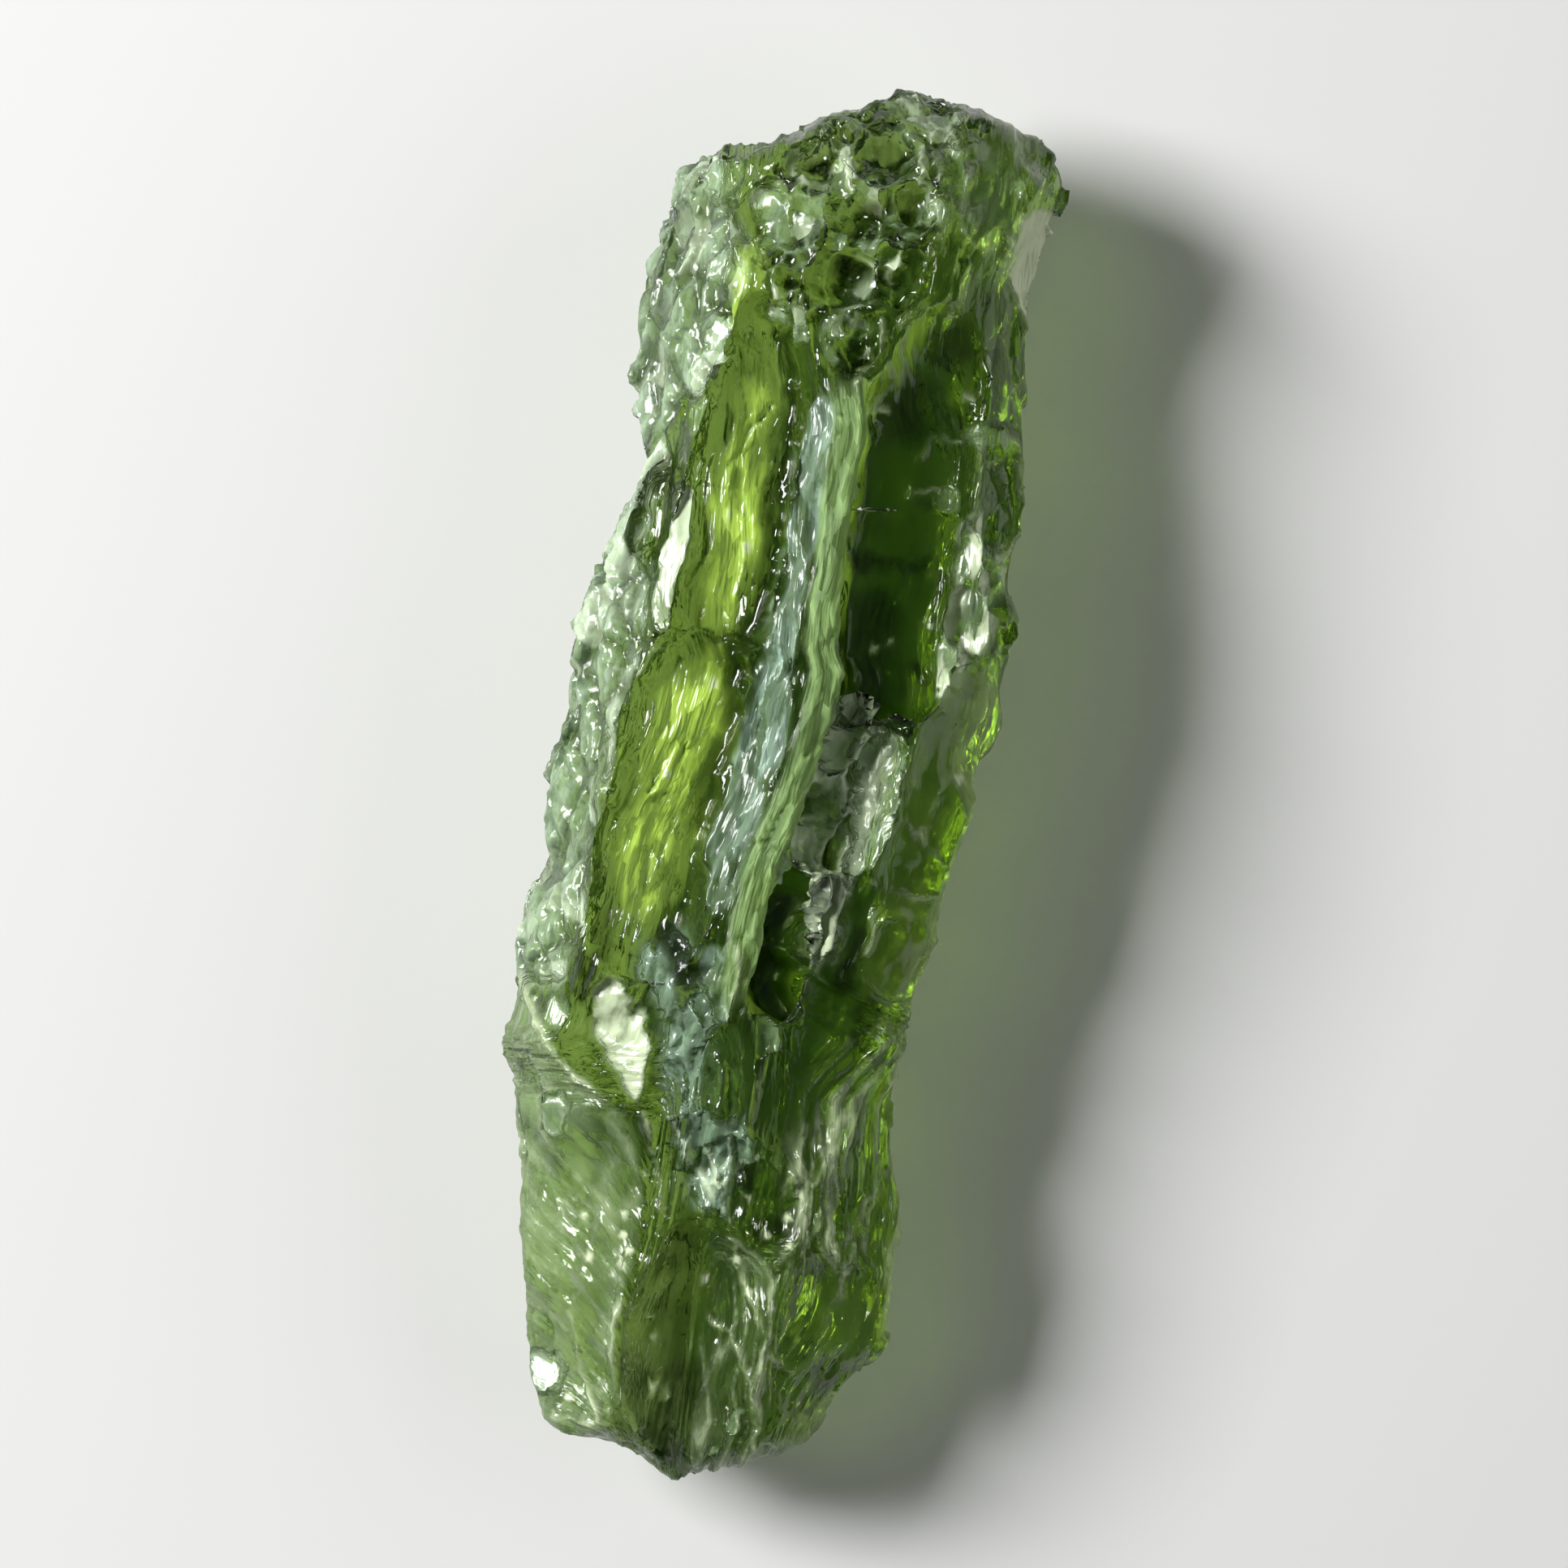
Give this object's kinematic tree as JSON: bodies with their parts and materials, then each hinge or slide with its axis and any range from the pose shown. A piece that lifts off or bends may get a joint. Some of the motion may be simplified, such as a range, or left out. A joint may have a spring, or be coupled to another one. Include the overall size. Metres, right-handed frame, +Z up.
{
  "type": "moldavite",
  "caption": "Natural green glass rod with etched flutes, pits and a smooth lower scar, lying on a small flat spot of its back.",
  "frame": {"origin": "on the resting plane, under the middle of the stone's box", "axes": "+Y along the stone to its broad pitted head, +X to the right of the carved face, +Z up out of the carved face"},
  "size_m": [0.0132, 0.0399, 0.0087],
  "materials": {
    "moldavite_glass": "translucent bottle green, glossy on its ridges and frosted by fine etching on its left side"
  },
  "bodies": {
    "root": {"moldavite": "moldavite_glass"}
  },
  "joints": []
}
